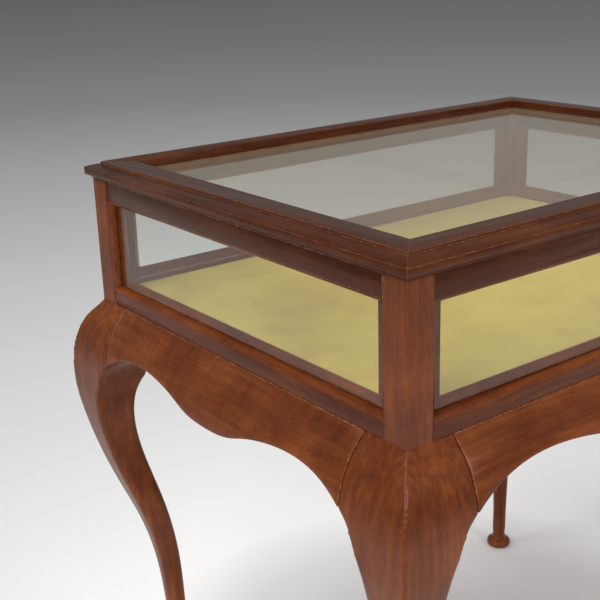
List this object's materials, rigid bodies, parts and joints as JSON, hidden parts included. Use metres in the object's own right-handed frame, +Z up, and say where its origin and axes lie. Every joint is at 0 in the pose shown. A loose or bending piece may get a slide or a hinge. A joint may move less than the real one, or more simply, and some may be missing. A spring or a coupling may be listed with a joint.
{
  "type": "display table",
  "caption": "Glazed wooden display table with a hinged glass lid, a cloth-lined floor and curved cabriole legs; the lid lifts and a key works its lock.",
  "frame": {"origin": "on the floor under the middle of the footprint", "axes": "+Z up, +X along the long front, +Y from the front with the lock to the hinged back"},
  "size_m": [0.7818, 0.6058, 0.75],
  "materials": {
    "mahogany": "waxed, worn at the arrises",
    "plain_wood": "bare",
    "glass": "clear",
    "fabric": "plain woven, yellow green",
    "brass": "aged",
    "steel": "dull"
  },
  "bodies": {
    "table": {"apron_back": "mahogany", "apron_front": "mahogany", "apron_left": "mahogany", "apron_right": "mahogany", "base_board": "plain_wood", "bead_pins": "brass", "bottom_rail_back": "mahogany", "bottom_rail_front": "mahogany", "bottom_rail_left": "mahogany", "bottom_rail_right": "mahogany", "cleat_back": "plain_wood", "cleat_front": "plain_wood", "cleat_left": "plain_wood", "cleat_right": "plain_wood", "escutcheon": "brass", "fabric_lining": "fabric", "hinge_left_case_leaf": "brass", "hinge_left_pin": "brass", "hinge_right_case_leaf": "brass", "hinge_right_pin": "brass", "inner_beads_back": "mahogany", "inner_beads_front": "mahogany", "inner_beads_left": "mahogany", "inner_beads_right": "mahogany", "leg_back_left": "mahogany", "leg_back_right": "mahogany", "leg_front_left": "mahogany", "leg_front_right": "mahogany", "lock_case": "brass", "outer_beads_back": "mahogany", "outer_beads_front": "mahogany", "outer_beads_left": "mahogany", "outer_beads_right": "mahogany", "screws_board": "steel", "screws_case": "steel", "side_glass_back": "glass", "side_glass_front": "glass", "side_glass_left": "glass", "side_glass_right": "glass", "top_rail_back": "mahogany", "top_rail_front": "mahogany", "top_rail_left": "mahogany", "top_rail_right": "mahogany"},
    "lid": {"hinge_left_lid_leaf": "brass", "hinge_right_lid_leaf": "brass", "lid_bead_back": "mahogany", "lid_bead_front": "mahogany", "lid_bead_left": "mahogany", "lid_bead_right": "mahogany", "lid_glass": "glass", "lid_member_back": "mahogany", "lid_member_front": "mahogany", "lid_member_left": "mahogany", "lid_member_right": "mahogany", "link_plate": "brass", "screws_lid": "steel"},
    "bolt": {"lock_bolt": "brass"},
    "key": {"key": "steel"}
  },
  "joints": [
    {"name": "lid_hinge", "type": "hinge", "parent": "table", "child": "lid", "pos_m": [0, 0.2724, 0.7298], "axis": [-1, 0, 0], "range_deg": [0, 100]},
    {"name": "key_turn", "type": "hinge", "parent": "table", "child": "key", "pos_m": [0, -0.269, 0.7201], "axis": [0, -1, 0], "range_deg": [0, 90]},
    {"name": "bolt_slide", "type": "slide", "parent": "table", "child": "bolt", "axis": [1, 0, 0], "range_m": [0, 0.00501]}
  ],
  "couplings": [
    {"joint": "bolt_slide", "follows": "key_turn", "m_per_rad": 0.0031831}
  ]
}
